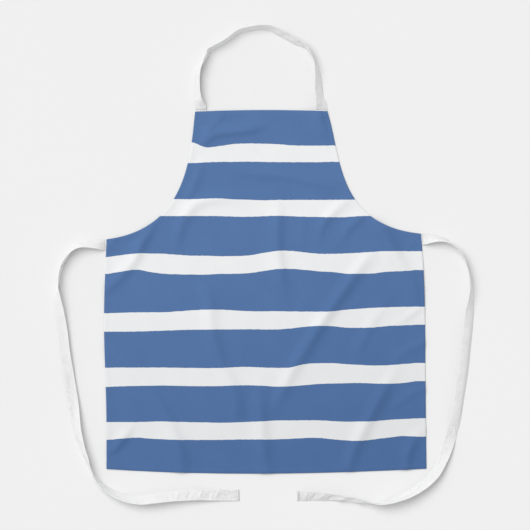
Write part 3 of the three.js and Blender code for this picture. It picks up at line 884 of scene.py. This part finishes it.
def seam_line(name, inset, before, after, step):
    """Even places along one edge of the panel, moved into it by inset: places, ways."""
    line = edges[name]
    total = lengths_along(line)[-1]
    at = np.linspace(before, total - after, int(round((total - before - after) / step)) + 1)
    way = resample(line, np.minimum(at + 0.5 * MM, total)) - resample(line, np.maximum(at - 0.5 * MM, 0))
    way /= np.linalg.norm(way, axis=1)[:, None]
    return resample(line, at) + inset * np.stack([way[:, 1], -way[:, 0]], 1), way


into = inward(outline)
rim = outline + into * ROLL
inner_lines = [
    seam_line(name, (width - STITCH_FROM_FOLD + off) * MM, 0.012, 0.012, SEAM_STEP)[0]
    for name, width in HEM_WIDTHS.items()
    for off in (-1.6, 0, 1.6)
]
rows = np.arange(-0.400, 0.400, PANEL_STEP * math.sqrt(3) / 2)
grid = np.array([
    (x, y)
    for k, y in enumerate(rows)
    for x in np.arange(-0.350 + (k % 2) * PANEL_STEP / 2, 0.350, PANEL_STEP)
])
closed = np.vstack([outline[::2], outline[:1]])
away, _, side_of = nearest_on(closed, grid)
grid = grid[(side_of < 0) & (away > ROLL + 2 * MM)]
inner_points = np.vstack(inner_lines)
away, _, side_of = nearest_on(closed, inner_points)
inner_points = inner_points[(side_of < 0) & (away > ROLL + 1.2 * MM)]
taken = kdtree.KDTree(len(inner_points))
for k, p in enumerate(inner_points):
    taken.insert((*p, 0), k)
taken.balance()
grid = grid[[taken.find((*p, 0))[2] > 1.8 * MM for p in grid]]
flat_points = [Vector(p) for p in np.vstack([rim, inner_points, grid])]
ring = list(range(len(rim)))
flat, _, cells, origin, _, _ = geometry.delaunay_2d_cdt(flat_points, [], [ring], 1, 1e-7)
flat = np.array([tuple(p) for p in flat])
cells = np.array([c for c in cells if len(c) == 3])
corner = flat[cells]
turn = np.cross(corner[:, 1] - corner[:, 0], corner[:, 2] - corner[:, 0])
cells[turn < 0] = cells[turn < 0][:, ::-1]
rim_at = {old: new for new, sources in enumerate(origin) for old in sources if old < len(rim)}
rim_at = np.array([rim_at[k] for k in ring])

under = panel_bottom(flat)
top = under + CLOTH_THICK
count, around = len(flat), len(rim)
rim_top = top[rim_at]
lip = fold_height(outline) + HEM_BASE + (PANEL_OVER_TAPE - 0.06 * MM - HEM_BASE) * seam_boxes(outline)
lip_inner = outline + into * LIP_DEPTH
back_flat = flat.copy()
back_flat[rim_at] = lip_inner
back_z = under.copy()
back_z[rim_at] = panel_bottom(lip_inner)
bevel = ROLL * (1 - math.sqrt(0.5))
soft = 0.18 * MM
rings = [
    (outline + into * bevel, rim_top - bevel),
    (outline, rim_top - ROLL),
    (outline, lip + soft),
    (outline + into * soft * 0.3, lip + soft * 0.3),
    (outline + into * soft, lip),
    (outline + into * (LIP_DEPTH - 0.1 * MM), lip),
]
points = np.vstack([
    np.column_stack([flat, top]), np.column_stack([back_flat, back_z]), *[np.column_stack(r) for r in rings]
])
loops = [rim_at, *[2 * count + k * around + np.arange(around) for k in range(len(rings))], count + rim_at]
sides = []
for upper, lower in zip(loops, loops[1:]):
    after_upper, after_lower = np.roll(upper, -1), np.roll(lower, -1)
    sides.append(np.stack([upper, after_upper, after_lower, lower], 1))
faces = [*cells.tolist(), *(cells[:, ::-1] + count).tolist(), *np.vstack(sides).tolist()]
printed = np.zeros(len(faces))
printed[len(cells) : 2 * len(cells)] = 1
ink = stripe_distance(points[:, :2])
# The panel's colour carries painted shade towards its lower right, as light falling off.
panel = make_piece(
    "front_panel_cloth", points, faces, [PRINTED, CLOTH_BACK],
    {"print": ink, "painted_falloff": painted_light_falloff(points), "show": 0.42 * smoothstep(ink, -0.6, 0.6)}, printed,
)
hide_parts("front_panel")
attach(panel, "apron")

# ---------- hems, their stitches, the sewn tape ends and their tacks ----------

def slope_up(points, height):
    """Unit normals of a height field, pointing up."""
    step = 0.6 * MM
    dx = (height(points + [step, 0]) - height(points - [step, 0])) / (2 * step)
    dy = (height(points + [0, step]) - height(points - [0, step])) / (2 * step)
    normal = np.column_stack([-dx, -dy, np.ones(len(points))])
    return normal / np.linalg.norm(normal, axis=1)[:, None]


def on_front(places, ways):
    """Stitches lying in the front of the panel: places, ways, normals."""
    normals = slope_up(places, panel_top)
    middle = np.column_stack([places, panel_top(places) - 0.06 * MM])
    return middle, np.column_stack([ways, slope_along(places, ways, panel_top)]), normals


def on_back(places, ways, base):
    """The same stitches where they show behind, on a hem or tape whose back is base above the folds."""
    normals = -slope_up(places, fold_height)
    middle = np.column_stack([places, fold_height(places) + base])
    return middle, np.column_stack([ways, slope_along(places, ways, fold_height)]), normals


def slope_along(places, ways, height):
    step = 0.8 * MM
    return (height(places + ways * step) - height(places - ways * step)) / (2 * step)


pieces_on_panel = []
for name, width in HEM_WIDTHS.items():
    before, after = (value * MM for value in HEM_CLEARANCES[name])
    columns = np.array([EDGE_RECESS, 1.2, 0.3 * width, 0.6 * width, width - 1, width - 0.25, width]) * MM
    places = [seam_line(name, inset, before, after, 3 * MM)[0] for inset in columns]
    n, m = len(places[0]), len(columns)
    flat_hem = np.stack(places, 1).reshape(-1, 2)
    seed = sum(map(ord, name))
    run = np.repeat(np.arange(n) * 3.0, m)
    inset = np.tile(columns, n)
    ripple = 0.1 * MM * smooth_noise(run, inset / MM, 8, seed + 5) * smoothstep(inset, 1 * MM, 4 * MM)
    base = fold_height(flat_hem) + HEM_BASE + np.maximum(ripple, -0.05 * MM)
    thin = np.tile(np.array([0.5, 1, 1, 1, 1, 0.85, 0.35]), n) * HEM_THICK / 2
    middle = base + HEM_THICK / 2
    mirrored = flat_hem + 2 * (seam_line(name, 0, before, after, 3 * MM)[0].repeat(m, 0) - flat_hem)
    vertices = np.vstack([np.column_stack([flat_hem, middle + thin]), np.column_stack([flat_hem, middle - thin])])
    i, k = (g.ravel() for g in np.meshgrid(np.arange(n - 1), np.arange(m - 1), indexing="ij"))
    a = i * m + k
    high = np.stack([a, a + m, a + m + 1, a + 1], 1)
    low = high[:, ::-1] + n * m
    border = [*range(0, n * m, m), *range((n - 1) * m + 1, n * m), *range((n - 1) * m - 1, 0, -m), *range(m - 2, 0, -1)]
    border = np.array(border)
    nxt = np.roll(border, -1)
    rim_faces = np.stack([nxt, border, border + n * m, nxt + n * m], 1)
    ink = stripe_distance(np.vstack([mirrored, mirrored]))
    # The hems carry no painted shade.
    hem = make_piece(
        name + "_hem_cloth", vertices, np.vstack([high, low, rim_faces]).tolist(), [PRINTED],
        {"print": ink, "painted_falloff": np.ones(len(ink))},
    )
    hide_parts(name + "_hem")

    seam, ways = seam_line(name, (width - STITCH_FROM_FOLD) * MM, before, after, STITCH_PITCH)
    stitches = stitch_rows(
        name + "_hem_stitches", [on_front(seam, ways), on_back(seam + ways * STITCH_PITCH / 2, ways, HEM_BASE)]
    )
    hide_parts(name + "_hem_stitching")
    pieces_on_panel += [hem, stitches]

for name, ((x, y), way) in SEAMS.items():
    seam, way = np.array([x, y]) * MM, np.array(way, float)
    aside = np.array([-way[1], way[0]])
    reach = SEWN_TAIL + SEAM_SHOW[name]
    run = np.linspace(0, reach, 12)
    line = seam - way * (SEWN_TAIL - run)[:, None]
    middle = np.column_stack([line, fold_height(line) + SEWN_BASE + TAPE_THICK / 2])
    flat_across = np.tile([*aside, 0.0], (len(run), 1))
    up = np.tile(UP, (len(run), 1))
    sewn = ribbon(name + "_sewn_tape", (run, middle, flat_across, up), TAPE_WIDTH / 2, TAPE_THICK, follow=fold_height)
    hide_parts(name + "_sewn_end")

    centre = seam - way * (SEWN_TAIL / 2 + TACK_SETBACK)
    half = TACK_SIZE / 2
    corners = [centre + way * a * half + aside * b * half for a, b in ((1, 1), (1, -1), (-1, -1), (-1, 1))]
    runs = [(corners[k], corners[(k + 1) % 4]) for k in range(4)] + [(corners[0], corners[2]), (corners[1], corners[3])]
    rows = []
    for start, end in runs:
        length = np.linalg.norm(end - start)
        number = int(round(length / TACK_PITCH))
        places = start + (end - start) * ((np.arange(number) + 0.5) / number)[:, None]
        ways = np.tile((end - start) / length, (number, 1))
        rows += [on_front(places, ways), on_back(places, ways, SEWN_BASE)]
    tack = stitch_rows(name + "_tack_stitches", rows, length=TACK_PITCH * 0.8)
    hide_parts(name + "_tack")
    pieces_on_panel += [sewn, tack]

for piece in pieces_on_panel:
    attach(piece, "apron")
